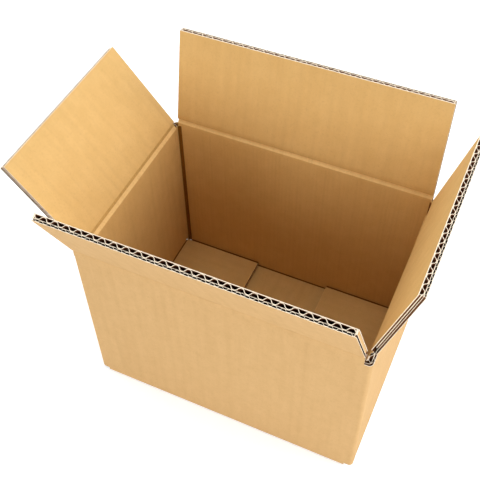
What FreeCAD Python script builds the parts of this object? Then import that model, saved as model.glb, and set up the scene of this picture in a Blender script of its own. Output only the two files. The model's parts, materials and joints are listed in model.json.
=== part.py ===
import FreeCAD, Part
import math
import os

# An open carton of double-wall corrugated board, in millimetres.
# X runs along the long walls, Y from the front wall to the back wall, Z up.
# The origin is the centre of the underside, on the face that rests on a table.

# Inside of the box. The height is from the inner floor to the fold of an end flap.
INNER_LENGTH = 165.0
INNER_WIDTH = 113.5
INNER_HEIGHT = 110.5

# Board, from the inside out: liner, large flutes, liner, small flutes, liner.
LINER = 0.3
LARGE_FLUTE_HEIGHT = 2.1
LARGE_FLUTE_PITCH = 6.4
SMALL_FLUTE_HEIGHT = 0.9
SMALL_FLUTE_PITCH = 4.27
FLUTED_PAPER = 0.22
GLUE_LINE_SHARE = 0.16
SIDE_GROOVE = 0.9

# Folds. A flap turns about a line just outside the outer face of its wall.
FOLD_LINE_PROUD = 0.15
FOLD_CUT_BACK = 0.4
FOLD_CRUSH = 3.0
LEVEL_CLEARANCE = 0.3
CORNER_RADIUS = 2.5
CREASE_MOUTH = 0.9
CREASE_DEPTH = 1.5

# Slots between neighbouring flaps, centred on the upright folds. The depth is below an end fold.
SLOT_WIDTH = 6.5
SLOT_DEPTH = 3.0

# Gaps where two long flaps meet at the middle, on top and underneath.
TOP_SEAM = 1.0
BOTTOM_SEAM = 0.6
BOTTOM_SEAM_OFFSET = 1.2
BOTTOM_FLUTE_DEPTH = 12.0

# Glued tab that closes the blank into a ring, inside the right wall.
TAB_WIDTH = 30.0
TAB_THICKNESS = 1.8
TAB_END_SLANT = 9.0
TAB_END_MARGIN = 8.0

# How far each top flap leans outward from upright, in degrees.
LEAN_FRONT = 25.7
LEAN_BACK = 10.6
LEAN_LEFT = 39.0
LEAN_RIGHT = 15.0

BOARD = 3 * LINER + LARGE_FLUTE_HEIGHT + SMALL_FLUTE_HEIGHT
LARGE_LAYER_START = LINER
SMALL_LAYER_START = 2 * LINER + LARGE_FLUTE_HEIGHT
INNER_FLOOR = 2 * BOARD
END_FOLD_LEVEL = INNER_FLOOR + INNER_HEIGHT
LONG_FOLD_LEVEL = END_FOLD_LEVEL + BOARD + LEVEL_CLEARANCE
OUTER_LENGTH = INNER_LENGTH + 2 * BOARD
OUTER_WIDTH = INNER_WIDTH + 2 * BOARD
LONG_FLAP_WIDTH = INNER_LENGTH + BOARD - SLOT_WIDTH
END_FLAP_WIDTH = INNER_WIDTH + BOARD - SLOT_WIDTH
FLAP_REACH = OUTER_WIDTH / 2 + FOLD_LINE_PROUD - TOP_SEAM / 2
SLOT_FLOOR = END_FOLD_LEVEL - SLOT_DEPTH
BEYOND = 5.0

UP = FreeCAD.Vector(0, 0, 1)
ORIGIN = FreeCAD.Vector(0, 0, 0)


def prism_along_x(outline, start, length):
    """Closed prism over an outline of Y and Z, run along X."""
    corners = [FreeCAD.Vector(start, y, z) for y, z in outline]
    face = Part.Face(Part.makePolygon(corners + corners[:1]))
    return face.extrude(FreeCAD.Vector(length, 0, 0))


def upright_prism(outline, start, height):
    """Closed prism over an outline of X and Y, run up Z."""
    corners = [FreeCAD.Vector(x, y, start) for x, y in outline]
    face = Part.Face(Part.makePolygon(corners + corners[:1]))
    return face.extrude(FreeCAD.Vector(0, 0, height))


def block(low, high):
    size = [b - a for a, b in zip(low, high)]
    return Part.makeBox(size[0], size[1], size[2], FreeCAD.Vector(*low))


def flute_cells(width, layer_start, height, pitch, near, far):
    """Hollow cells of one fluted layer in a board that lies on X, with Y through its thickness.

    Every wave of the paper leaves a cell open to the inner liner, and between two of these
    lies one that is open to the outer liner. The cells run along Z from near to far.
    """
    glue_line = GLUE_LINE_SHARE * pitch
    wide = (pitch - glue_line) / 2
    narrow = glue_line / 2
    room = width - 2 * SIDE_GROOVE - 4 * LINER
    waves = int((room - 2 * wide) / pitch) + 1
    low = layer_start
    high = layer_start + height
    cells = []
    for number in range(2 * waves - 1):
        centre = (number - waves + 1) * pitch / 2
        if number % 2 == 0:
            base, tip = low, high - FLUTED_PAPER
        else:
            base, tip = high, low + FLUTED_PAPER
        outline = [
            (centre - wide, base),
            (centre + wide, base),
            (centre + narrow, tip),
            (centre - narrow, tip),
        ]
        cells.append(upright_prism(outline, near, far - near))
    return cells


def side_grooves(width, near, far):
    """Open flutes along both side cuts of a board."""
    layers = [(LARGE_LAYER_START, LARGE_FLUTE_HEIGHT), (SMALL_LAYER_START, SMALL_FLUTE_HEIGHT)]
    grooves = []
    for start, height in layers:
        for side in (-1, 1):
            inner = side * (width / 2 - SIDE_GROOVE)
            outer = side * (width / 2 + BEYOND)
            grooves.append(block((min(inner, outer), start, near), (max(inner, outer), start + height, far)))
    return grooves


def board_cells(width, near, far, groove_far):
    cells = flute_cells(width, LARGE_LAYER_START, LARGE_FLUTE_HEIGHT, LARGE_FLUTE_PITCH, near, far)
    cells += flute_cells(width, SMALL_LAYER_START, SMALL_FLUTE_HEIGHT, SMALL_FLUTE_PITCH, near, far)
    cells += side_grooves(width, near, groove_far)
    return Part.makeCompound(cells)


def upright_flap(width):
    """Flap standing straight up from its fold line at Z = 0, with its inner face at Y = 0.

    Its lower end is bevelled from the outer face inwards, so that it can close by a right angle.
    """
    outline = [
        (BOARD, FOLD_CUT_BACK),
        (BOARD, FLAP_REACH),
        (0, FLAP_REACH),
        (0, BOARD + FOLD_CUT_BACK),
    ]
    flap = prism_along_x(outline, -width / 2, width)
    first_cell = BOARD + FOLD_CUT_BACK + FOLD_CRUSH
    return flap.cut(board_cells(width, first_cell, FLAP_REACH + BEYOND, FLAP_REACH + BEYOND))


def top_flap(width, wall_distance, fold_level, lean, heading):
    """Flap on its fold, leaning outward, on the wall that faces the heading in degrees from +Y."""
    flap = upright_flap(width)
    flap.translate(FreeCAD.Vector(0, wall_distance - BOARD, fold_level))
    fold_line = FreeCAD.Vector(0, wall_distance + FOLD_LINE_PROUD, fold_level)
    flap.rotate(fold_line, FreeCAD.Vector(1, 0, 0), -lean)
    flap.rotate(ORIGIN, UP, heading)
    return flap


def wall_ring():
    """The four walls as one ring, square inside and rounded along the outer upright folds."""
    outer = block(
        (-OUTER_LENGTH / 2, -OUTER_WIDTH / 2, 0),
        (OUTER_LENGTH / 2, OUTER_WIDTH / 2, LONG_FOLD_LEVEL),
    )
    upright_edges = [edge for edge in outer.Edges if abs(edge.tangentAt(edge.FirstParameter).z) > 0.5]
    outer = outer.makeFillet(CORNER_RADIUS, upright_edges)
    inner = block(
        (-INNER_LENGTH / 2, -INNER_WIDTH / 2, -BEYOND),
        (INNER_LENGTH / 2, INNER_WIDTH / 2, LONG_FOLD_LEVEL + BEYOND),
    )
    return outer.cut(inner)


def slot_cutter(level, upward):
    """Slot with a round end at the given level, through a wall that faces Y, centred on X = 0."""
    radius = SLOT_WIDTH / 2
    top = LONG_FOLD_LEVEL + BEYOND if upward else -BEYOND
    centre = level + radius if upward else level - radius
    depth = 3 * BOARD
    start = FreeCAD.Vector(0, -depth / 2, centre)
    round_end = Part.makeCylinder(radius, depth, start, FreeCAD.Vector(0, 1, 0))
    shaft = block((-radius, -depth / 2, min(centre, top)), (radius, depth / 2, max(centre, top)))
    return round_end.fuse(shaft)


def corner_creases():
    """Grooves where the inner liner is pinched along the four upright folds."""
    corner_x = INNER_LENGTH / 2
    corner_y = INNER_WIDTH / 2
    creases = []
    for side_x in (-1, 1):
        for side_y in (-1, 1):
            outline = [
                (side_x * corner_x, side_y * (corner_y - CREASE_MOUTH)),
                (side_x * (corner_x + CREASE_DEPTH), side_y * (corner_y + CREASE_DEPTH)),
                (side_x * (corner_x - CREASE_MOUTH), side_y * corner_y),
                (side_x * (corner_x - CREASE_MOUTH), side_y * (corner_y - CREASE_MOUTH)),
            ]
            creases.append(upright_prism(outline, INNER_FLOOR, LONG_FOLD_LEVEL))
    return creases


def corner_slots():
    """Slots at the four upright folds, above the top folds and below the bottom folds."""
    fold_x = (INNER_LENGTH + BOARD) / 2
    fold_y = (INNER_WIDTH + BOARD) / 2
    cutters = []
    for level, upward in ((SLOT_FLOOR, True), (BOARD, False)):
        for side_x in (-1, 1):
            for side_y in (-1, 1):
                through_long_wall = slot_cutter(level, upward)
                through_long_wall.translate(FreeCAD.Vector(side_x * fold_x, side_y * fold_y, 0))
                through_end_wall = slot_cutter(level, upward)
                through_end_wall.rotate(ORIGIN, UP, 90)
                through_end_wall.translate(FreeCAD.Vector(side_x * fold_x, side_y * fold_y, 0))
                cutters += [through_long_wall, through_end_wall]
    return cutters


def rim_bevel(flap_width, wall_distance, fold_level, heading):
    """What is cut from a wall's top so that it slopes down inwards from the fold line."""
    outer_edge = fold_level - FOLD_CUT_BACK
    outline = [
        (wall_distance + BEYOND, outer_edge + BEYOND),
        (wall_distance - BOARD - BEYOND, outer_edge - BOARD - BEYOND),
        (wall_distance - BOARD - BEYOND, LONG_FOLD_LEVEL + 2 * BEYOND),
        (wall_distance + BEYOND, LONG_FOLD_LEVEL + 2 * BEYOND),
    ]
    cutter = prism_along_x(outline, -flap_width / 2, flap_width)
    cutter.rotate(ORIGIN, UP, heading)
    return cutter


def bottom_flap(width, wall_distance, underside, reach, heading, fluted):
    """Flap folded flat under the box, from the outer face of its wall inwards, with a round fold."""
    arc_centre = FreeCAD.Vector(-width / 2, wall_distance - CORNER_RADIUS, underside + CORNER_RADIUS)
    middle = CORNER_RADIUS * math.sqrt(0.5)
    low = FreeCAD.Vector(-width / 2, wall_distance - CORNER_RADIUS, underside)
    high = FreeCAD.Vector(-width / 2, wall_distance, underside + CORNER_RADIUS)
    between = arc_centre + FreeCAD.Vector(0, middle, -middle)
    inner_low = FreeCAD.Vector(-width / 2, wall_distance - reach, underside)
    inner_high = FreeCAD.Vector(-width / 2, wall_distance - reach, underside + BOARD)
    outer_high = FreeCAD.Vector(-width / 2, wall_distance, underside + BOARD)
    edges = [
        Part.LineSegment(inner_low, low).toShape(),
        Part.Arc(low, between, high).toShape(),
        Part.LineSegment(high, outer_high).toShape(),
        Part.LineSegment(outer_high, inner_high).toShape(),
        Part.LineSegment(inner_high, inner_low).toShape(),
    ]
    flap = Part.Face(Part.Wire(edges)).extrude(FreeCAD.Vector(width, 0, 0))
    if fluted:
        cells = board_cells(width, -BEYOND, BOTTOM_FLUTE_DEPTH, BOTTOM_FLUTE_DEPTH)
        cells.rotate(ORIGIN, FreeCAD.Vector(1, 0, 0), -90)
        cells.translate(FreeCAD.Vector(0, wall_distance - reach, underside + BOARD))
        flap = flap.cut(cells)
    flap.rotate(ORIGIN, UP, heading)
    return flap


def bottom_fold_cutter(width, wall_distance, underside, heading):
    """Clears a wall's lower edge down to the round fold of its bottom flap."""
    cutter = block(
        (-width / 2, wall_distance - BOARD, -BEYOND),
        (width / 2, wall_distance + BEYOND, underside + BOARD),
    )
    cutter.rotate(ORIGIN, UP, heading)
    return cutter


def glue_tab():
    """Crushed tab on the back wall's end, glued flat against the inside of the right wall."""
    low = INNER_FLOOR + TAB_END_MARGIN
    high = END_FOLD_LEVEL - BOARD - TAB_END_MARGIN
    root = INNER_WIDTH / 2 + BOARD / 2
    tip = INNER_WIDTH / 2 - TAB_WIDTH
    outline = [(root, low), (root, high), (tip, high - TAB_END_SLANT), (tip, low + TAB_END_SLANT)]
    return prism_along_x(outline, INNER_LENGTH / 2 - TAB_THICKNESS, TAB_THICKNESS + BOARD / 2)


# Headings of the walls, in degrees about Z from +Y, with each wall's flap sizes.
BACK, LEFT, FRONT, RIGHT = 0, 90, 180, 270
LONG_WALL = (LONG_FLAP_WIDTH, OUTER_WIDTH / 2, LONG_FOLD_LEVEL)
END_WALL = (END_FLAP_WIDTH, OUTER_LENGTH / 2, END_FOLD_LEVEL)
TOP_FLAPS = {
    "front_flap": (LONG_WALL, LEAN_FRONT, FRONT),
    "back_flap": (LONG_WALL, LEAN_BACK, BACK),
    "left_flap": (END_WALL, LEAN_LEFT, LEFT),
    "right_flap": (END_WALL, LEAN_RIGHT, RIGHT),
}


def box_body():
    """Walls, glued tab and the four closed bottom flaps, folded from one blank."""
    cutters = corner_slots() + corner_creases()
    flaps = []
    seam = {FRONT: BOTTOM_SEAM_OFFSET, BACK: -BOTTOM_SEAM_OFFSET}
    for (width, distance, fold_level), _, heading in TOP_FLAPS.values():
        is_long = heading in seam
        underside = 0 if is_long else BOARD
        if is_long:
            reach = distance + seam[heading] - BOTTOM_SEAM / 2
        else:
            reach = OUTER_WIDTH / 2 - BOTTOM_SEAM / 2
        cutters.append(rim_bevel(width, distance, fold_level, heading))
        cutters.append(bottom_fold_cutter(width, distance, underside, heading))
        flaps.append(bottom_flap(width, distance, underside, reach, heading, fluted=not is_long))
    body = wall_ring()
    for cutter in cutters:
        body = body.cut(cutter)
    return body.fuse([glue_tab()] + flaps).removeSplitter()


def save(name, shape):
    solids = shape.Solids
    if len(solids) != 1 or not solids[0].isValid():
        raise ValueError(name + " is not one valid solid")
    solids[0].exportStep(os.path.join("parts", name + ".step"))
    print(name, "volume in cubic centimetres", round(solids[0].Volume / 1000, 2))


os.makedirs("parts", exist_ok=True)
save("box_body", box_body())
for flap_name, ((flap_width, distance, level), flap_lean, flap_heading) in TOP_FLAPS.items():
    save(flap_name, top_flap(flap_width, distance, level, flap_lean, flap_heading))
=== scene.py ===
import json
import math

import bpy
import numpy as np
from mathutils import Matrix, Vector

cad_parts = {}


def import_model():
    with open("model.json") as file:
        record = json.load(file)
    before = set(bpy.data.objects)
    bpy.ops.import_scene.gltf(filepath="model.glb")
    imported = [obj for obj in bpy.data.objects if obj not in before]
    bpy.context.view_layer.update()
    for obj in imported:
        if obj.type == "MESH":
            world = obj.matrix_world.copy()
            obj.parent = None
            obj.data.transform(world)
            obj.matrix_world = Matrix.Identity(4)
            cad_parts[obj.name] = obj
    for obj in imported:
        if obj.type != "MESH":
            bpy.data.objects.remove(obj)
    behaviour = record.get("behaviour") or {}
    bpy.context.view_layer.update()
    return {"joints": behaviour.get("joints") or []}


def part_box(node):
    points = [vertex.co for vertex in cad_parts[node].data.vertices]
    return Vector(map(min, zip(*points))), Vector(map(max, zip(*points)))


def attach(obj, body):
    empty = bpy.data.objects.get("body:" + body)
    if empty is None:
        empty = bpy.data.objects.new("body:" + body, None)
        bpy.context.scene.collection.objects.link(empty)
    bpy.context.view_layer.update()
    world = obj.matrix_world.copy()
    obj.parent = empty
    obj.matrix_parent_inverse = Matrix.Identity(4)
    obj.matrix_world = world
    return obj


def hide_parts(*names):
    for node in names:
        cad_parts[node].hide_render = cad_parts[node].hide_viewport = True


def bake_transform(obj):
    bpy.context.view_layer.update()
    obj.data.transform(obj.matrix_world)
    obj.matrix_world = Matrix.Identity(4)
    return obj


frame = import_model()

# Look of an open carton of double-wall corrugated board. The frame is in metres, and so is this script.
MM = 0.001

# Board, from the inside out: liner, large flutes, liner, small flutes, liner.
BOARD = 3.9 * MM
INNER_LINER = (0.0, 0.42 * MM)
LARGE_LAYER = (0.38 * MM, 2.46 * MM)
MIDDLE_LINER = (2.40 * MM, 2.64 * MM)
SMALL_LAYER = (2.60 * MM, 3.66 * MM)
OUTER_LINER = (3.62 * MM, BOARD)
SIDE_GROOVE = 0.8 * MM
SIDE_SHALLOW = 0.1 * MM
SIDE_PAPER = 0.3 * MM
SIDE_STRIPE = (-0.15 * MM, 0.25 * MM)
RIM_DROP = 0.2 * MM
RIM_WIDTH = 0.1 * MM
FLUTE_SETBACK = 0.15 * MM

# Flat places are kept in tenths of a metre. Edges bent by more than the sharp angle stay crisp.
FLAT_SCALE = 10.0
SHARP_ANGLE = 32

# Fluted papers: layer, pitch, thickness, steepness of the wave and mesh steps in one wave.
LARGE_FLUTES = (LARGE_LAYER, 6.4 * MM, 0.32 * MM, 1.6, 18)
SMALL_FLUTES = (SMALL_LAYER, 4.27 * MM, 0.20 * MM, 3.0, 16)
FLUTES_SHOWING = 6.4 * MM

# Folds. The board is crushed from the inside along each of them.
LINE_PROUD = 0.15 * MM
FOLD_HALF = 4.5 * MM
CRUSH_DEPTH = 1.5 * MM
WALL_CRUSH = 1.9 * MM
FLAP_CRUSH = 0.8 * MM
OUTER_DENT = 0.30 * MM
CORNER_RADIUS = 2.5 * MM
# Crease down each inner corner, from the long wall to the end wall, in millimetres outward from the corner.
# The two corners of the right wall are creased less.
CORNER_CREASE = [(-5.0, 0.0), (-2.9, 0.0), (-2.6, 0.35), (-1.9, 1.5), (-1.1, 2.0), (-0.5, 1.6), (-0.2, 0.8),
                 (-0.1, 0.0), (0.05, -0.7), (0.0, -1.2), (0.0, -2.1), (0.25, -2.5), (0.0, -3.0), (0.0, -5.0)]
RIGHT_CREASE_SHARE = 0.4
# The crease's painted shade starts this far from the corner along each wall, and this far outward.
CREASE_ON_LONG_WALL = 2.8 * MM
CREASE_ON_END_WALL = 0.9 * MM
CREASE_OUTWARD = 0.05 * MM

# Slots at the corners and seams between the long flaps.
SLOT_WIDTH = 6.5 * MM
SLOT_DEPTH = 1.6 * MM
TOP_SEAM = 1.0 * MM
BOTTOM_SEAM = 0.6 * MM
BOTTOM_SEAM_OFFSET = 1.2 * MM
CORNER_STEPS = 10
CORNER_REACH = 5.0 * MM
BOTTOM_FOLD_STEPS = 6
LEVEL_STEP = 0.01 * MM
SLOT_FLUTES_PAST = 1.5 * MM
SLOT_FLUTES_DEEP = 14.0 * MM
SLOT_FLUTES_BELOW = 0.1 * MM

# Ends of each top fold along the wall's own X, which runs left as seen from outside.
FOLD_ENDS = {
    "front": (-82.0 * MM, 85.2 * MM),
    "back": (-81.8 * MM, 82.4 * MM),
    "left": (-55.45 * MM, 55.45 * MM),
    "right": (-56.3 * MM, 53.0 * MM),
}

# Glued tab inside the right wall.
TAB_WIDTH = 30.0 * MM
TAB_THICKNESS = 1.8 * MM
TAB_END_SLANT = 9.0 * MM
TAB_END_MARGIN = 8.0 * MM

# Thin strip of painted shade at the foot of each long wall beside the end flaps: how far it stands out of
# the wall and into it, how far it stops below the flap's face, and short of the corner.
FOOT_PROUD = 0.1 * MM
FOOT_SUNK = 0.05 * MM
FOOT_BELOW = 0.2 * MM
FOOT_END_GAP = 3.0 * MM

# Places read from the frame.
JOINTS = {joint["name"]: joint for joint in frame["joints"]}
BODY_LOW, BODY_HIGH = [Vector(corner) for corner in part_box("box_body")]
OUTER_LENGTH = BODY_HIGH.x - BODY_LOW.x
OUTER_WIDTH = BODY_HIGH.y - BODY_LOW.y
INNER_LENGTH = OUTER_LENGTH - 2 * BOARD
INNER_WIDTH = OUTER_WIDTH - 2 * BOARD
LONG_FOLD = JOINTS["front_flap_fold"]["pos_m"][2]
END_FOLD = JOINTS["left_flap_fold"]["pos_m"][2]
FLAP_REACH = OUTER_WIDTH / 2 + LINE_PROUD - TOP_SEAM / 2
LONG_WIDTH = INNER_LENGTH + BOARD - SLOT_WIDTH
END_WIDTH = INNER_WIDTH + BOARD - SLOT_WIDTH
SLOT_FLOOR = END_FOLD - SLOT_DEPTH

# Walls: heading about Z from +Y, flap width, distance of the outer face and level of the top fold.
WALLS = {
    "front": (180, LONG_WIDTH, OUTER_WIDTH / 2, LONG_FOLD),
    "back": (0, LONG_WIDTH, OUTER_WIDTH / 2, LONG_FOLD),
    "left": (90, END_WIDTH, OUTER_LENGTH / 2, END_FOLD),
    "right": (270, END_WIDTH, OUTER_LENGTH / 2, END_FOLD),
}

# Camera, as found from the corners of the box in the photograph, for a picture 480 pixels wide.
CAMERA_AZIMUTH = 25.603
CAMERA_ELEVATION = 50.016
CAMERA_ROLL = -1.323
CAMERA_DISTANCE = 474.945 * MM
CAMERA_TARGET = Vector((-13.843, 1.318, 98.595)) * MM
FOCAL_PIXELS = 808.645
PICTURE_PIXELS = 480
SENSOR_MM = 36.0

# Floor: half its side, how far it lies under the box, and the light it adds where it is seen.
FLOOR_HALF = 1.5
FLOOR_DROP = 0.05 * MM
FLOOR_LIFT = 0.42


def lean_of(wall):
    """Outward lean of a top flap from upright: it closes to a right angle inward of that."""
    return math.radians(-JOINTS[wall + "_flap_fold"]["range_deg"][0] - 90)


class Nodes:
    """A short way to add nodes and links to one tree."""

    def __init__(self, tree):
        self.tree = tree

    def add(self, kind, inputs=None, **settings):
        node = self.tree.nodes.new(kind)
        for key, value in settings.items():
            setattr(node, key, value)
        for key, value in (inputs or {}).items():
            if isinstance(value, bpy.types.NodeSocket):
                self.tree.links.new(value, node.inputs[key])
            else:
                node.inputs[key].default_value = value
        return node

    def math(self, operation, first, second=0.0):
        return self.add("ShaderNodeMath", {0: first, 1: second}, operation=operation).outputs[0]

    def noise(self, coordinates, scale, detail=3.0, roughness=0.6):
        inputs = {"Vector": coordinates, "Scale": scale, "Detail": detail, "Roughness": roughness}
        return self.add("ShaderNodeTexNoise", inputs).outputs["Fac"]

    def mix(self, factor, first, second, blend="MIX"):
        node = self.add("ShaderNodeMix", data_type="RGBA", blend_type=blend)
        for socket, value in ((node.inputs[0], factor), (node.inputs[6], first), (node.inputs[7], second)):
            if isinstance(value, bpy.types.NodeSocket):
                self.tree.links.new(value, socket)
            else:
                socket.default_value = value
        return node.outputs[2]

    def ramp(self, factor, low, high):
        inputs = {"Value": factor, "From Min": low, "From Max": high}
        return self.add("ShaderNodeMapRange", inputs).outputs[0]


def new_material(name, roughness):
    """Matt material, with a helper for its nodes and its shader."""
    material = bpy.data.materials.new(name)
    material.use_nodes = True
    nodes = Nodes(material.node_tree)
    shader = material.node_tree.nodes["Principled BSDF"]
    shader.inputs["Roughness"].default_value = roughness
    shader.inputs["Specular IOR Level"].default_value = 0.25
    return material, nodes, shader


def rgb(red, green, blue):
    return (red, green, blue, 1.0)


OUTER_KRAFT = (rgb(0.628, 0.393, 0.168), rgb(0.679, 0.436, 0.195))
INNER_KRAFT = (rgb(0.667, 0.415, 0.148), rgb(0.721, 0.463, 0.178))
# Crushed paper on the folds: lighter from wear, and lighter again by a painted highlight.
WORN_AND_LIT_KRAFT = (rgb(0.840, 0.560, 0.230), rgb(0.880, 0.600, 0.260))
KRAFT_DARK = rgb(0.475, 0.264, 0.092)
CUT_PAPER = rgb(0.990, 0.870, 0.690)
CUT_PAPER_DARK = rgb(0.920, 0.750, 0.540)
# Painted shade: dark paper inside the flutes and on hidden liner faces.
CAVITY_SHADE_PAPER = rgb(0.300, 0.110, 0.040)
# Painted shade in the creases down the inner corners, inside the bottom folds and at the wall feet.
CREASE_SHADE_PAPER = rgb(0.400, 0.170, 0.015)
# Painted shade on the flap side of each top fold and in the cuts of the back slots.
FOLD_SHADE_PAPER = rgb(0.760, 0.470, 0.160)
# Painted deep shade: near black, on hidden faces, the small flutes and the bottom flaps' cut edges.
DEEP_SHADE_PAPER = rgb(0.060, 0.022, 0.010)


def kraft_paper(name, tones):
    """Matt brown paper: cloudy tone, fine grain, short fibres, and darker bands along the flutes that are
    partly their tone showing through and partly painted shade.
    """
    material, nodes, shader = new_material(name, 0.82)
    place = nodes.add("ShaderNodeTexCoord")
    object_place = place.outputs["Object"]
    clouds = nodes.noise(object_place, 130.0, 5.0)
    grain = nodes.noise(object_place, 900.0, 4.0, 0.7)
    stretched = nodes.add("ShaderNodeMapping", {"Vector": place.outputs["UV"], "Scale": (260.0, 60.0, 1.0)})
    fibres = nodes.noise(stretched.outputs[0], 9.0, 2.0)
    upright = nodes.add("ShaderNodeMapping", {"Vector": place.outputs["UV"], "Scale": (22.0, 1.6, 1.0)})
    streaks = nodes.noise(upright.outputs[0], 1.0, 3.0)
    across = nodes.add("ShaderNodeSeparateXYZ", {0: place.outputs["UV"]}).outputs[0]
    wave = nodes.math("SINE", nodes.math("MULTIPLY", across, 2 * math.pi / (FLUTES_SHOWING * FLAT_SCALE)))
    colour = nodes.mix(nodes.ramp(clouds, 0.25, 0.75), *tones)
    colour = nodes.mix(nodes.math("MULTIPLY", nodes.ramp(grain, 0.52, 0.75), 0.35), colour, KRAFT_DARK)
    colour = nodes.mix(nodes.math("MULTIPLY", nodes.ramp(fibres, 0.60, 0.80), 0.30), colour, KRAFT_DARK)
    # Darker bands along the flutes: partly the flutes' tone showing through, partly painted shade.
    flute_shade_banding = nodes.math("MULTIPLY", nodes.ramp(streaks, 0.35, 0.70), nodes.ramp(wave, -3.0, 1.0))
    colour = nodes.mix(nodes.math("MULTIPLY", flute_shade_banding, 0.22), colour, KRAFT_DARK)
    material.node_tree.links.new(colour, shader.inputs["Base Color"])
    relief = nodes.math("ADD", nodes.math("MULTIPLY", grain, 0.35), nodes.math("MULTIPLY", wave, 0.12))
    bump = nodes.add("ShaderNodeBump", {"Height": relief, "Strength": 0.25, "Distance": 0.2 * MM})
    material.node_tree.links.new(bump.outputs[0], shader.inputs["Normal"])
    return material


def cut_paper():
    """Pale torn fibres on every cut edge."""
    material, nodes, shader = new_material("cut_edge", 0.9)
    place = nodes.add("ShaderNodeTexCoord").outputs["Object"]
    speckle = nodes.noise(place, 1500.0, 3.0)
    colour = nodes.mix(nodes.ramp(speckle, 0.45, 0.75), CUT_PAPER, CUT_PAPER_DARK)
    material.node_tree.links.new(colour, shader.inputs["Base Color"])
    bump = nodes.add("ShaderNodeBump", {"Height": speckle, "Strength": 0.4, "Distance": 0.15 * MM})
    material.node_tree.links.new(bump.outputs[0], shader.inputs["Normal"])
    return material


def shaded_paper(name, tone):
    """Dark paper of painted shade, for places deep in a fold or in the open end of the board."""
    material, nodes, shader = new_material(name, 0.95)
    place = nodes.add("ShaderNodeTexCoord").outputs["Object"]
    mottle = nodes.noise(place, 700.0, 2.0)
    dark = tuple(value * 0.5 for value in tone[:3]) + (1.0,)
    colour = nodes.mix(mottle, tone, dark)
    material.node_tree.links.new(colour, shader.inputs["Base Color"])
    return material


OUTSIDE, INSIDE, EDGE, CAVITY_SHADE, CREASE_SHADE, WORN_AND_LIT, SHADED, DEEP_SHADE = range(8)
MATERIALS = [
    kraft_paper("kraft_outside", OUTER_KRAFT),
    kraft_paper("kraft_inside", INNER_KRAFT),
    cut_paper(),
    shaded_paper("cavity_shade_paper", CAVITY_SHADE_PAPER),
    shaded_paper("crease_shade_paper", CREASE_SHADE_PAPER),
    kraft_paper("kraft_worn_and_lit", WORN_AND_LIT_KRAFT),
    shaded_paper("fold_shade_paper", FOLD_SHADE_PAPER),
    shaded_paper("deep_shade_paper", DEEP_SHADE_PAPER),
]

# Materials of each liner's inner and outer face. Only an outermost face is finished paper; the hidden faces
# carry painted shade.
LINER_FACES = {
    INNER_LINER: (INSIDE, CAVITY_SHADE),
    MIDDLE_LINER: (CAVITY_SHADE, DEEP_SHADE),
    OUTER_LINER: (DEEP_SHADE, OUTSIDE),
}


def facing_outward(points, faces):
    """Faces of a closed shell, turned over if they give it a negative volume."""
    origin = points[0]
    volume = 0.0
    for face in faces:
        first = points[face[0]] - origin
        for second, third in zip(face[1:], face[2:]):
            volume += first.dot((points[second] - origin).cross(points[third] - origin))
    return faces if volume > 0 else [face[::-1] for face in faces]


class Sheet:
    """Gathers the closed shells of one mesh, with a material for each face and each point's flat place."""

    def __init__(self):
        self.points = []
        self.faces = []
        self.materials = []
        self.flat_places = []

    def add(self, points, faces, materials, flat):
        start = len(self.points)
        points = [Vector(point) for point in points]
        self.points += points
        self.flat_places += list(flat)
        self.faces += [[start + index for index in face] for face in facing_outward(points, faces)]
        self.materials += list(materials)

    def build(self, name):
        mesh = bpy.data.meshes.new(name)
        mesh.from_pydata([tuple(point) for point in self.points], [], self.faces)
        for material in MATERIALS:
            mesh.materials.append(material)
        mesh.polygons.foreach_set("material_index", self.materials)
        layer = mesh.uv_layers.new(name="board")
        corners = np.zeros(len(mesh.loops), dtype=np.int32)
        mesh.loops.foreach_get("vertex_index", corners)
        flat = np.array(self.flat_places, dtype=np.float32)[corners] * FLAT_SCALE
        layer.data.foreach_set("uv", flat.ravel())
        mesh.polygons.foreach_set("use_smooth", [True] * len(mesh.polygons))
        mesh.set_sharp_from_angle(angle=math.radians(SHARP_ANGLE))
        mesh.update()
        piece = bpy.data.objects.new(name, mesh)
        bpy.context.scene.collection.objects.link(piece)
        return piece


def add_prism(sheet, outline, ends, place, materials):
    """Prism over a closed outline of thickness and height, run along the fold, with cut ends.

    Each side of the outline has a material. The ends give the left and right limit at a height.
    """
    count = len(outline)
    points = []
    flat = []
    for side in (0, 1):
        for across, up in outline:
            along = ends(up)[side]
            points.append(place @ Vector((along, across, up)))
            flat.append((along, up))
    faces = []
    for index in range(count):
        following = (index + 1) % count
        faces.append([index, following, count + following, count + index])
    faces.append(list(range(count - 1, -1, -1)))
    faces.append(list(range(count, 2 * count)))
    sheet.add(points, faces, list(materials) + [EDGE, EDGE], flat)


def straight_ends(width):
    """Upright side edges, at the same place at every height."""
    return lambda up: (-width / 2, width / 2)


def flap_ends(wall, inset=0.0):
    """Side edges of a top flap, which run straight from the ends of its fold to its free corners."""
    left, right = FOLD_ENDS[wall]
    half = WALLS[wall][1] / 2

    def ends(up):
        share = min(max(up / FLAP_REACH, 0.0), 1.0)
        return left + (-half - left) * share + inset, right + (half - right) * share - inset
    return ends


def wall_turn(wall):
    """Turn about Z from a wall's own frame, whose outward way is +Y, to its heading on the box."""
    return Matrix.Rotation(math.radians(WALLS[wall][0]), 4, "Z")


def top_flap_place(wall):
    """From a flap's own frame, upright with its inner face at zero, to its place on the box."""
    _, _, distance, fold = WALLS[wall]
    hinge = Matrix.Translation((0, distance + LINE_PROUD, fold))
    lean = Matrix.Rotation(-lean_of(wall), 4, "X")
    return wall_turn(wall) @ hinge @ lean @ Matrix.Translation((0, -BOARD - LINE_PROUD, 0))


def underside_of(wall):
    """Level of the underside of a bottom flap. The long flaps lie under the end flaps."""
    return 0.0 if wall in ("front", "back") else BOARD


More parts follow.
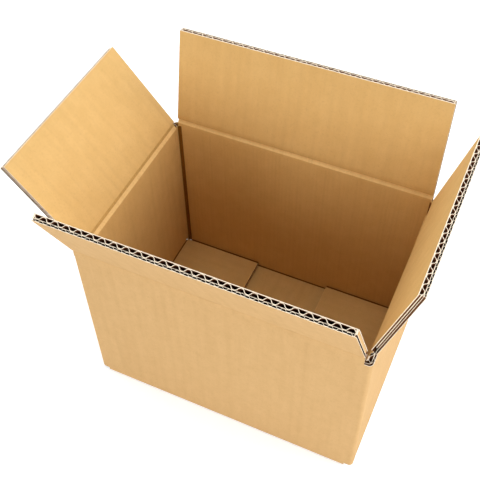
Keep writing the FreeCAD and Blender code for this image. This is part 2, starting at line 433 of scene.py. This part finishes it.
def bottom_flap_place(wall):
    """From a flap's own frame to flat under the box, with its height running inwards."""
    distance = WALLS[wall][2]
    inner_face = underside_of(wall) + BOARD
    flat = Matrix(((-1, 0, 0, 0), (0, 0, -1, distance), (0, -1, 0, inner_face), (0, 0, 0, 1)))
    return wall_turn(wall) @ flat


def corrugator():
    """Geometry nodes that make one fluted paper: a sheet bent into rounded waves, with its thickness."""
    tree = bpy.data.node_groups.new("fluted_paper", "GeometryNodeTree")
    tree.is_modifier = True
    sizes = (("Width", 0.16), ("Near", 0.0), ("Far", 0.06), ("Low", 0.0), ("High", 0.002), ("Pitch", 0.0064),
             ("Paper", 0.0003), ("Steepness", 1.5), ("Unevenness", 0.0003))
    tree.interface.new_socket("Geometry", in_out="INPUT", socket_type="NodeSocketGeometry")
    for name, value in sizes:
        tree.interface.new_socket(name, in_out="INPUT", socket_type="NodeSocketFloat").default_value = value
    tree.interface.new_socket("Columns", in_out="INPUT", socket_type="NodeSocketInt").default_value = 300
    tree.interface.new_socket("Paper inside", in_out="INPUT", socket_type="NodeSocketMaterial")
    tree.interface.new_socket("Cut edge", in_out="INPUT", socket_type="NodeSocketMaterial")
    tree.interface.new_socket("Geometry", in_out="OUTPUT", socket_type="NodeSocketGeometry")
    nodes = Nodes(tree)
    given = nodes.add("NodeGroupInput").outputs
    length = nodes.math("SUBTRACT", given["Far"], given["Near"])
    middle = nodes.math("MULTIPLY", nodes.math("ADD", given["Far"], given["Near"]), 0.5)
    grid = nodes.add("GeometryNodeMeshGrid", {
        "Size X": given["Width"], "Size Y": length, "Vertices X": given["Columns"], "Vertices Y": 2})
    where = nodes.add("ShaderNodeSeparateXYZ", {0: nodes.add("GeometryNodeInputPosition").outputs[0]})
    along = where.outputs[0]
    drift = nodes.add("ShaderNodeTexNoise", {"W": nodes.math("MULTIPLY", along, 90.0), "Scale": 1.0},
                      noise_dimensions="1D").outputs["Fac"]
    off_centre = nodes.math("SUBTRACT", drift, 0.5)
    shifted = nodes.math("ADD", along, nodes.math("MULTIPLY", off_centre, given["Unevenness"]))
    turn = nodes.math("MULTIPLY", nodes.math("DIVIDE", shifted, given["Pitch"]), 2 * math.pi)
    rounded = nodes.math("TANH", nodes.math("MULTIPLY", nodes.math("SINE", turn), given["Steepness"]))
    crest = nodes.math("MULTIPLY", nodes.math("TANH", given["Steepness"]), 2.0)
    wave = nodes.math("DIVIDE", rounded, crest)
    height = nodes.math("SUBTRACT", nodes.math("SUBTRACT", given["High"], given["Low"]), given["Paper"])
    centre = nodes.math("MULTIPLY", nodes.math("ADD", given["High"], given["Low"]), 0.5)
    across = nodes.math("ADD", centre, nodes.math("MULTIPLY", wave, height))
    up = nodes.math("ADD", where.outputs[1], middle)
    bent = nodes.add("GeometryNodeSetPosition", {
        "Geometry": grid.outputs["Mesh"],
        "Position": nodes.add("ShaderNodeCombineXYZ", {0: along, 1: across, 2: up}).outputs[0]})
    half = nodes.math("MULTIPLY", given["Paper"], 0.5)
    outward = nodes.add("ShaderNodeVectorMath", {
        0: nodes.add("GeometryNodeInputNormal").outputs[0], "Scale": half}, operation="SCALE")
    back = nodes.add("ShaderNodeVectorMath", {0: outward.outputs[0], "Scale": -1.0}, operation="SCALE")
    lowered = nodes.add("GeometryNodeSetPosition", {"Geometry": bent.outputs[0], "Offset": back.outputs[0]})
    raised = nodes.add("GeometryNodeExtrudeMesh", {
        "Mesh": lowered.outputs[0], "Offset Scale": given["Paper"], "Individual": False}, mode="FACES")
    under = nodes.add("GeometryNodeFlipFaces", {"Mesh": lowered.outputs[0]})
    both = nodes.add("GeometryNodeJoinGeometry")
    tree.links.new(raised.outputs["Mesh"], both.inputs[0])
    tree.links.new(under.outputs[0], both.inputs[0])
    closed = nodes.add("GeometryNodeMergeByDistance", {"Geometry": both.outputs[0], "Distance": 0.002 * MM})
    real = nodes.add("GeometryNodeRealizeInstances", {"Geometry": closed.outputs[0]})
    inside = nodes.add("GeometryNodeSetMaterial", {
        "Geometry": real.outputs[0], "Material": given["Paper inside"]})
    facing = nodes.add("ShaderNodeSeparateXYZ", {0: nodes.add("GeometryNodeInputNormal").outputs[0]})
    is_cut = nodes.math("GREATER_THAN", nodes.math("ABSOLUTE", facing.outputs[2]), 0.9)
    edged = nodes.add("GeometryNodeSetMaterial", {
        "Geometry": inside.outputs[0], "Selection": is_cut, "Material": given["Cut edge"]})
    nodes.add("NodeGroupOutput", {"Geometry": edged.outputs[0]})
    return tree


CORRUGATOR = corrugator()


def fluted_paper(sheet, ends, near, far, flutes, place, cut):
    """Adds one fluted paper, made by the corrugator, to a mesh."""
    layer, pitch, paper, steepness, steps = flutes
    left, right = ends(far)
    width = right - left
    carrier = bpy.data.objects.new("fluting", bpy.data.meshes.new("fluting"))
    bpy.context.scene.collection.objects.link(carrier)
    modifier = carrier.modifiers.new("fluting", "NODES")
    modifier.node_group = CORRUGATOR
    inputs = [item for item in CORRUGATOR.interface.items_tree if item.in_out == "INPUT"]
    sockets = {item.name: item.identifier for item in inputs}
    values = {
        "Width": width, "Near": near, "Far": far, "Low": layer[0], "High": layer[1], "Pitch": pitch,
        "Paper": paper, "Steepness": steepness, "Unevenness": 0.12 * pitch,
        "Columns": int(width / pitch * steps) + 1,
        "Paper inside": MATERIALS[CAVITY_SHADE], "Cut edge": MATERIALS[EDGE],
    }
    for name, value in values.items():
        modifier[sockets[name]] = value
    evaluated = carrier.evaluated_get(bpy.context.evaluated_depsgraph_get())
    mesh = bpy.data.meshes.new_from_object(evaluated)
    carrier.modifiers.remove(modifier)
    points = []
    for vertex in mesh.vertices:
        from_left, to_right = ends(vertex.co.z)
        along = from_left + (vertex.co.x / width + 0.5) * (to_right - from_left)
        points.append(place @ Vector((along, vertex.co.y, vertex.co.z)))
    faces = [list(polygon.vertices) for polygon in mesh.polygons]
    cut_index = list(mesh.materials).index(MATERIALS[EDGE])
    inner = CAVITY_SHADE if layer == LARGE_LAYER else DEEP_SHADE
    materials = [cut if polygon.material_index == cut_index else inner for polygon in mesh.polygons]
    sheet.add(points, faces, materials, [(vertex.co.x, vertex.co.z) for vertex in mesh.vertices])
    bpy.data.objects.remove(carrier)
    bpy.data.meshes.remove(mesh)


def add_liner(sheet, ends, liner, near, far, place, cut):
    """One flat liner: its two faces, its cut edges and the narrow slope between inner face and edge."""
    low, high = liner
    inner, outer = LINER_FACES[liner]
    # Beside a dark cut, the slope is worn paper with a painted highlight.
    rim = EDGE if cut == EDGE else WORN_AND_LIT
    outline = [(low, near), (low, far - RIM_DROP), (low + RIM_WIDTH, far), (high, far), (high, near)]
    add_prism(sheet, outline, ends, place, [inner, rim, cut, outer, CAVITY_SHADE])


def add_side_paper(sheet, ends, layer, near, far, place, closed):
    """Flute that lies cut along each side edge of the board: open behind a shallow groove, or closed."""
    low, high = layer
    # The back of each groove carries painted shade.
    slices = [(low, high, SIDE_GROOVE, CREASE_SHADE if closed else CAVITY_SHADE)]
    if layer == LARGE_LAYER and closed:
        slices = [(low, high, SIDE_SHALLOW, OUTSIDE)]
    elif layer == LARGE_LAYER:
        middle = (low + high) / 2
        slices.append((middle + SIDE_STRIPE[0], middle + SIDE_STRIPE[1], SIDE_SHALLOW, EDGE))
    for bottom, top, groove, material in slices:
        for side in (0, 1):
            inward = 1 - 2 * side
            points = []
            for up in (near, far):
                for depth in (groove, SIDE_GROOVE + SIDE_PAPER):
                    along = ends(up)[side] + inward * depth
                    points += [place @ Vector((along, bottom, up)), place @ Vector((along, top, up))]
            faces = [[0, 1, 5, 4], [2, 6, 7, 3], [4, 5, 7, 6], [0, 2, 3, 1], [0, 4, 6, 2], [1, 3, 7, 5]]
            materials = [material, CAVITY_SHADE, EDGE, CAVITY_SHADE, CAVITY_SHADE, CAVITY_SHADE]
            sheet.add(points, faces, materials, [(0.0, 0.0)] * len(points))


def add_board(sheet, ends, near, far, place, cut=EDGE, closed_sides=False):
    """Flat stretch of board with its three liners and two fluted papers."""
    for liner in (INNER_LINER, MIDDLE_LINER, OUTER_LINER):
        add_liner(sheet, ends, liner, near, far, place, cut)
    flutes_far = far - FLUTE_SETBACK

    def inner_ends(up):
        left, right = ends(up)
        return left + SIDE_GROOVE, right - SIDE_GROOVE

    for flutes in (LARGE_FLUTES, SMALL_FLUTES):
        fluted_paper(sheet, inner_ends, near, flutes_far, flutes, place, cut)
        add_side_paper(sheet, ends, flutes[0], near, flutes_far, place, closed_sides)


def top_flap(wall):
    """Flat board of one top flap, above its fold. The front one's side cuts are pressed shut."""
    sheet = Sheet()
    ends = flap_ends(wall)
    place = top_flap_place(wall)
    add_board(sheet, ends, FOLD_HALF, FLAP_REACH, place, closed_sides=wall == "front")
    piece = sheet.build(wall + "_flap_board")
    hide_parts(wall + "_flap")
    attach(piece, wall + "_flap")


def flap_side(points, wall):
    """Turns points given in a flap's own frame outward with its lean, about the fold line."""
    lean = lean_of(wall)
    turned = []
    for across, up in points:
        reach = across - BOARD - LINE_PROUD
        turned.append((
            reach * math.cos(lean) + up * math.sin(lean) + BOARD + LINE_PROUD,
            -reach * math.sin(lean) + up * math.cos(lean),
        ))
    return turned


def fold_layers():
    """Each liner through a fold: its face below the fold line and above it, thickness and materials.

    A face is a list of (across, up) points, going up. The materials are those of the inner face, run
    by run, and that of the outer face.
    """
    low, high = INNER_LINER
    wall_face = [(0.0, -FOLD_HALF), (0.0, -WALL_CRUSH - 0.3 * MM), (0.15 * MM, -WALL_CRUSH + 0.25 * MM),
                 (CRUSH_DEPTH * 0.9, -0.4 * MM), (CRUSH_DEPTH, -0.05 * MM)]
    flap_face = [(CRUSH_DEPTH, 0.05 * MM), (CRUSH_DEPTH * 0.8, 0.25 * MM),
                 (0.15 * MM, FLAP_CRUSH - 0.3 * MM), (0.0, FLAP_CRUSH), (0.0, FOLD_HALF)]
    # On the inner liner, the wall-side slopes are worn paper with a painted highlight, and the flap-side
    # slopes carry painted shade.
    yield wall_face, flap_face, high - low, [INSIDE] + [WORN_AND_LIT] * 3 + [SHADED] * 4 + [INSIDE], CAVITY_SHADE
    low, high = MIDDLE_LINER
    wall_face = [(low, -FOLD_HALF), (low, -WALL_CRUSH), (low + 0.3 * MM, -0.1 * MM)]
    flap_face = [(low + 0.3 * MM, 0.1 * MM), (low, WALL_CRUSH), (low, FOLD_HALF)]
    yield wall_face, flap_face, high - low, [CAVITY_SHADE] * 5, CAVITY_SHADE
    low, high = OUTER_LINER
    wall_face = [(low, -FOLD_HALF), (low, -0.9 * MM), (low - 0.05 * MM, -0.6 * MM),
                 (low - OUTER_DENT, -0.05 * MM)]
    flap_face = [(across, -up) for across, up in reversed(wall_face)]
    yield wall_face, flap_face, high - low, [CAVITY_SHADE] * 7, OUTSIDE


def top_fold(wall):
    """Crushed strip of board that joins a wall to its top flap."""
    _, _, distance, fold = WALLS[wall]
    turn = wall_turn(wall)
    place = turn @ Matrix.Translation((0, distance - BOARD, fold))
    sheet = Sheet()
    ends = flap_ends(wall)
    for wall_face, flap_face, thickness, inner_materials, outer_material in fold_layers():
        inside = wall_face + flap_side(flap_face, wall)
        outside = [(across + thickness, up) for across, up in wall_face]
        outside += flap_side([(across + thickness, up) for across, up in flap_face], wall)
        materials = inner_materials + [CAVITY_SHADE] + [outer_material] * len(inner_materials) + [CAVITY_SHADE]
        add_prism(sheet, inside + outside[::-1], ends, place, materials)
    piece = sheet.build(wall + "_flap_crease")
    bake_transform(piece)


def fold_end(wall, along):
    """How far a top fold reaches towards the corner that lies at a positive or negative place."""
    left, right = FOLD_ENDS[wall]
    return right if along > 0 else -left


def corner_slots():
    """Each corner: signs of x and y, and where the long fold and the end fold stop beside it."""
    for sign_x, sign_y in ((1, 1), (1, -1), (-1, -1), (-1, 1)):
        long_wall = "back" if sign_y > 0 else "front"
        end_wall = "right" if sign_x > 0 else "left"
        long_heading = 1 if sign_y > 0 else -1
        end_heading = -1 if sign_x > 0 else 1
        long_limit = fold_end(long_wall, sign_x * long_heading)
        end_limit = fold_end(end_wall, sign_y * end_heading)
        yield sign_x, sign_y, long_limit, end_limit


def slot_rise(y, end_limit):
    """Level of the cut along the end wall, which rises from the corner to the end of the fold."""
    share = min(max((INNER_WIDTH / 2 - y) / (INNER_WIDTH / 2 - end_limit), 0.0), 1.0)
    return SLOT_FLOOR + (END_FOLD - SLOT_FLOOR) * share ** 1.5


def column_levels(x, y, long_limit, end_limit):
    """Bottom and top of the wall's board at a place near the corner at +X and +Y."""
    on_long_wall = y >= INNER_WIDTH / 2
    if on_long_wall:
        top = LONG_FOLD - FOLD_HALF if x <= long_limit else SLOT_FLOOR
        bottom = FOLD_HALF if x <= LONG_WIDTH / 2 else BOARD
    else:
        top = slot_rise(y, end_limit) if y > end_limit else END_FOLD - FOLD_HALF
        bottom = BOARD if y > END_WIDTH / 2 else BOARD + FOLD_HALF
    return bottom, top


def corner_plan(depth, crease_share):
    """Plan of the board at a depth, round the corner at +X and +Y, from the long wall to the end wall."""
    corner_x = INNER_LENGTH / 2 + depth
    corner_y = INNER_WIDTH / 2 + depth
    if depth < MIDDLE_LINER[0]:
        crease = [(x * crease_share * MM, y * crease_share * MM) for x, y in CORNER_CREASE]
        return [(corner_x + x, corner_y + y) for x, y in crease]
    radius = CORNER_RADIUS * depth / BOARD
    plan = [(INNER_LENGTH / 2 - CORNER_REACH, corner_y)]
    for step in range(CORNER_STEPS + 1):
        angle = math.pi / 2 * (1 - step / CORNER_STEPS)
        plan.append((corner_x + radius * (math.cos(angle) - 1), corner_y + radius * (math.sin(angle) - 1)))
    return plan + [(corner_x, INNER_WIDTH / 2 - CORNER_REACH)]


def split(columns, axis, limit):
    """Puts a pair of columns close to each side of a limit, so that a level can step there."""
    result = columns[:1]
    for before, after in zip(columns, columns[1:]):
        here = (before[0][axis] + before[1][axis]) / 2 - limit
        there = (after[0][axis] + after[1][axis]) / 2 - limit
        if here * there < 0:
            share = here / (here - there)
            near = LEVEL_STEP / abs(here - there)
            for part in (share - near, share + near):
                result.append([Vector(a).lerp(Vector(b), part) for a, b in zip(before, after)])
        result.append(after)
    return result


def ring_columns(low, high):
    """Columns of one liner of the walls: its two places in plan, and the bottom and top there."""
    ring = []
    for sign_x, sign_y, long_limit, end_limit in corner_slots():
        share = RIGHT_CREASE_SHARE if sign_x > 0 else 1.0
        plans = zip(corner_plan(low, share), corner_plan(high, share))
        columns = [[Vector(inside), Vector(outside)] for inside, outside in plans]
        for axis, limit in ((0, long_limit), (0, LONG_WIDTH / 2), (1, INNER_WIDTH / 2), (1, end_limit),
                            (1, END_WIDTH / 2)):
            columns = split(columns, axis, limit)
        if sign_x * sign_y < 0:
            columns = columns[::-1]
        for inside, outside in columns:
            middle = (inside + outside) / 2
            bottom, top = column_levels(middle.x, middle.y, long_limit, end_limit)
            ring.append((sign_x * inside.x, sign_y * inside.y,
                         sign_x * outside.x, sign_y * outside.y, bottom, top))
    return ring


def strip_faces(here, there):
    """Inner, outer, top and bottom face of the paper between two columns of four points."""
    return [[here, here + 1, there + 1, there], [here + 2, there + 2, there + 3, here + 3],
            [here + 1, here + 3, there + 3, there + 1], [here, there, there + 2, here + 2]]


def add_ring(sheet, liner):
    """One liner of the four walls, cut to the slots above and below."""
    columns = ring_columns(*liner)
    points = []
    flat = []
    travelled = 0.0
    previous = columns[0]
    for column in columns:
        inside_x, inside_y, outside_x, outside_y, bottom, top = column
        travelled += math.hypot(inside_x - previous[0], inside_y - previous[1])
        previous = column
        points += [(inside_x, inside_y, bottom), (inside_x, inside_y, top),
                   (outside_x, outside_y, bottom), (outside_x, outside_y, top)]
        flat += [(travelled, bottom), (travelled, top)] * 2
    faces = []
    materials = []
    outer_face = OUTSIDE if liner == OUTER_LINER else CAVITY_SHADE
    for index in range(len(columns)):
        following = (index + 1) % len(columns)
        faces += strip_faces(4 * index, 4 * following)
        inner_face = CAVITY_SHADE
        if liner == INNER_LINER:
            # Inner faces in a corner's crease carry painted shade.
            inner_face = CREASE_SHADE if in_crease(columns[index], columns[following]) else INSIDE
        # The cut tops of the slots at the back carry painted shade, and those at the front show pale fibres.
        top_face = SHADED if columns[index][1] > 0 else EDGE
        materials += [inner_face, outer_face, top_face, EDGE]
    sheet.add(points, faces, materials, flat)


def in_crease(column, following):
    """Whether the inner face between two columns lies in the crease down a corner."""
    x = (abs(column[0]) + abs(following[0])) / 2 - INNER_LENGTH / 2
    y = (abs(column[1]) + abs(following[1])) / 2 - INNER_WIDTH / 2
    return x > -CREASE_ON_LONG_WALL and y > -CREASE_ON_END_WALL and max(x, y) > CREASE_OUTWARD


def add_slot_flutes(sheet, flutes):
    """Fluted paper that shows in the cut beside each corner, along the end wall."""
    (low, high), pitch, paper, steepness, steps = flutes
    for sign_x, sign_y, _, end_limit in corner_slots():
        far = INNER_WIDTH / 2 + SLOT_FLUTES_PAST
        count = int((far - end_limit) / pitch * steps)
        points = []
        for index in range(count + 1):
            y = end_limit + (far - end_limit) * index / count
            turn = 2 * math.pi * y / pitch
            wave = math.tanh(steepness * math.sin(turn)) / (2 * math.tanh(steepness))
            depth = (low + high) / 2 + wave * (high - low - paper)
            bottom = SLOT_FLOOR - SLOT_FLUTES_DEEP
            top = slot_rise(y, end_limit) - SLOT_FLUTES_BELOW
            for x in (INNER_LENGTH / 2 + depth - paper / 2, INNER_LENGTH / 2 + depth + paper / 2):
                points += [(sign_x * x, sign_y * y, bottom), (sign_x * x, sign_y * y, top)]
        faces = []
        materials = []
        for index in range(count):
            faces += strip_faces(4 * index, 4 * index + 4)
            materials += [CAVITY_SHADE, CAVITY_SHADE, EDGE, CAVITY_SHADE]
        last = 4 * count
        faces += [[0, 2, 3, 1], [last, last + 1, last + 3, last + 2]]
        materials += [CAVITY_SHADE, CAVITY_SHADE]
        sheet.add(points, faces, materials, [(point[0], point[2]) for point in points])


def add_bottom_fold(sheet, wall):
    """Square fold of board from a wall to its bottom flap, rounded outside."""
    _, width, distance, _ = WALLS[wall]
    place = wall_turn(wall) @ Matrix.Translation((0, distance - BOARD, underside_of(wall)))
    outline = [(0.0, FOLD_HALF), (BOARD, FOLD_HALF)]
    for step in range(BOTTOM_FOLD_STEPS + 1):
        angle = math.pi / 2 * step / BOTTOM_FOLD_STEPS
        outline.append((BOARD - CORNER_RADIUS + CORNER_RADIUS * math.cos(angle),
                        CORNER_RADIUS - CORNER_RADIUS * math.sin(angle)))
    inner_end = BOARD - FOLD_HALF
    outline += [(inner_end, 0.0), (inner_end, BOARD), (0.2 * MM, BOARD - 1.3 * MM),
                (1.2 * MM, BOARD - 0.9 * MM), (0.9 * MM, BOARD + 0.1 * MM)]
    # The inside of the bottom fold carries painted shade.
    materials = [EDGE] + [OUTSIDE] * (BOTTOM_FOLD_STEPS + 2) + [EDGE] + [CREASE_SHADE] * 4
    add_prism(sheet, outline, straight_ends(width), place, materials)


def add_foot_shade_strip(sheet, wall):
    """Thin strip of painted shade at the foot of a long wall beside the end flaps, which stop just short of
    it.
    """
    distance = WALLS[wall][2]
    turn = wall_turn(wall)
    top = 2 * BOARD - FOOT_BELOW
    shade_strip = [(-FOOT_PROUD, BOARD), (-FOOT_PROUD, top), (FOOT_SUNK, top), (FOOT_SUNK, BOARD)]
    near = OUTER_LENGTH / 2 - bottom_reach("left")
    far = INNER_LENGTH / 2 - FOOT_END_GAP
    for side in (-1, 1):
        place = turn @ Matrix.Translation((side * (near + far) / 2, distance - BOARD, 0))
        add_prism(sheet, shade_strip, straight_ends(far - near), place, [CREASE_SHADE] * 4)


def bottom_reach(wall):
    """How far a bottom flap reaches in from its wall's outer face. The long flaps' seam is off centre."""
    offset = {"front": BOTTOM_SEAM_OFFSET, "back": -BOTTOM_SEAM_OFFSET}.get(wall, 0.0)
    return OUTER_WIDTH / 2 + offset - BOTTOM_SEAM / 2


def add_glue_tab(sheet):
    """Crushed tab on the inside of the right wall, from the back corner forwards."""
    low = 2 * BOARD + TAB_END_MARGIN
    high = END_FOLD - BOARD - TAB_END_MARGIN
    root = INNER_WIDTH / 2
    tip = INNER_WIDTH / 2 - TAB_WIDTH
    outline = [(root, low), (root, high), (tip, high - TAB_END_SLANT), (tip, low + TAB_END_SLANT)]
    near = INNER_LENGTH / 2 - TAB_THICKNESS
    points = [(near, y, z) for y, z in outline] + [(INNER_LENGTH / 2 + 0.1 * MM, y, z) for y, z in outline]
    faces = [[0, 1, 2, 3], [7, 6, 5, 4], [0, 4, 5, 1], [1, 5, 6, 2], [2, 6, 7, 3], [3, 7, 4, 0]]
    materials = [INSIDE, CAVITY_SHADE, INSIDE, INSIDE, EDGE, INSIDE]
    sheet.add(points, faces, materials, [(point[1], point[2]) for point in points])


def box_body():
    """Walls, glue tab and closed bottom flaps, which are one piece of board."""
    sheet = Sheet()
    for liner in (INNER_LINER, MIDDLE_LINER, OUTER_LINER):
        add_ring(sheet, liner)
    add_slot_flutes(sheet, LARGE_FLUTES)
    add_slot_flutes(sheet, SMALL_FLUTES)
    for wall, (_, width, _, _) in WALLS.items():
        add_bottom_fold(sheet, wall)
        # The bottom flaps' cut edges carry painted deep shade.
        add_board(sheet, straight_ends(width), FOLD_HALF, bottom_reach(wall), bottom_flap_place(wall), DEEP_SHADE)
    add_foot_shade_strip(sheet, "front")
    add_foot_shade_strip(sheet, "back")
    add_glue_tab(sheet)
    piece = sheet.build("box_walls_and_bottom")
    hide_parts("box_body")
    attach(piece, "box")


def seen_directly(nodes):
    """One for rays that start at the camera, also by way of a mirror or glass, and nought for others."""
    path = nodes.add("ShaderNodeLightPath")
    seen = nodes.math("MAXIMUM", path.outputs["Is Camera Ray"], path.outputs["Is Glossy Ray"])
    return nodes.math("MAXIMUM", seen, path.outputs["Is Transmission Ray"])


def floor():
    """Wide pale floor that shows white to the camera but keeps the shadow."""
    half = FLOOR_HALF
    corners = [(-half, -half, 0), (half, -half, 0), (half, half, 0), (-half, half, 0)]
    mesh = bpy.data.meshes.new("floor")
    mesh.from_pydata(corners, [], [[0, 1, 2, 3]])
    piece = bpy.data.objects.new("floor", mesh)
    bpy.context.scene.collection.objects.link(piece)
    piece.location.z = -FLOOR_DROP
    material = bpy.data.materials.new("floor")
    material.use_nodes = True
    nodes = Nodes(material.node_tree)
    material.node_tree.nodes.clear()
    matt = nodes.add("ShaderNodeBsdfDiffuse", {"Color": rgb(0.80, 0.80, 0.80)})
    lift = nodes.add("ShaderNodeEmission", {"Color": rgb(0.92, 0.96, 1.0), "Strength": FLOOR_LIFT})
    lifted = nodes.add("ShaderNodeAddShader", {0: matt.outputs[0], 1: lift.outputs[0]})
    seen = seen_directly(nodes)
    mixed = nodes.add("ShaderNodeMixShader", {0: seen, 1: matt.outputs[0], 2: lifted.outputs[0]})
    nodes.add("ShaderNodeOutputMaterial", {"Surface": mixed.outputs[0]})
    mesh.materials.append(material)


def world():
    """Plain white background for the camera and for reflections, which adds no diffuse light."""
    scene_world = bpy.data.worlds.new("studio")
    bpy.context.scene.world = scene_world
    scene_world.use_nodes = True
    nodes = Nodes(scene_world.node_tree)
    scene_world.node_tree.nodes.clear()
    seen = seen_directly(nodes)
    light = nodes.add("ShaderNodeBackground", {"Color": rgb(1.0, 1.0, 1.0), "Strength": seen})
    nodes.add("ShaderNodeOutputWorld", {"Surface": light.outputs[0]})


# Ring of softboxes: azimuth and elevation in degrees, and power in watts.
SOFTBOXES = [(0, 12, 4.6), (25, 25, 10.6), (90, 15, 1.0), (90, 30, 10.6), (120, 30, 10.7), (180, 30, 12.8),
             (-90, 20, 9.5), (-90, 40, 2.0), (-50, 20, 6.0), (0, 85, 5.6)]
LAMP_SIZE = 0.9
LAMP_DISTANCE = 1.6
LAMP_AIM = Vector((0, 0, 0.08))


def lamp(azimuth, elevation, power):
    """Soft square lamp at a distance, aimed at the middle of the box."""
    across, rise = math.radians(azimuth), math.radians(elevation)
    away = Vector((math.sin(across) * math.cos(rise), -math.cos(across) * math.cos(rise), math.sin(rise)))
    data = bpy.data.lights.new("softbox", "AREA")
    data.shape = "SQUARE"
    data.size = LAMP_SIZE
    data.energy = power
    piece = bpy.data.objects.new("softbox", data)
    bpy.context.scene.collection.objects.link(piece)
    piece.location = LAMP_AIM + away * LAMP_DISTANCE
    piece.rotation_mode = "QUATERNION"
    piece.rotation_quaternion = (-away).to_track_quat("-Z", "Y")
    piece.visible_camera = False


def camera():
    """Camera at the photograph's angle, aimed near the middle of the box."""
    azimuth, elevation = math.radians(CAMERA_AZIMUTH), math.radians(CAMERA_ELEVATION)
    backward = Vector((math.sin(azimuth) * math.cos(elevation), -math.cos(azimuth) * math.cos(elevation),
                       math.sin(elevation)))
    level_right = Vector((0, 0, 1)).cross(backward).normalized()
    level_up = backward.cross(level_right)
    roll = math.radians(CAMERA_ROLL)
    right = level_right * math.cos(roll) + level_up * math.sin(roll)
    up = level_up * math.cos(roll) - level_right * math.sin(roll)
    data = bpy.data.cameras.new("camera")
    data.sensor_width = SENSOR_MM
    data.lens = FOCAL_PIXELS / PICTURE_PIXELS * SENSOR_MM
    data.clip_start = 0.01
    piece = bpy.data.objects.new("camera", data)
    bpy.context.scene.collection.objects.link(piece)
    turn = Matrix((right, up, backward)).transposed().to_4x4()
    piece.matrix_world = Matrix.Translation(CAMERA_TARGET + backward * CAMERA_DISTANCE) @ turn
    bpy.context.scene.camera = piece


camera()
floor()
world()
for softbox in SOFTBOXES:
    lamp(*softbox)
box_body()
for wall_name in WALLS:
    top_flap(wall_name)
    top_fold(wall_name)

bpy.context.scene.view_settings.view_transform = "Standard"
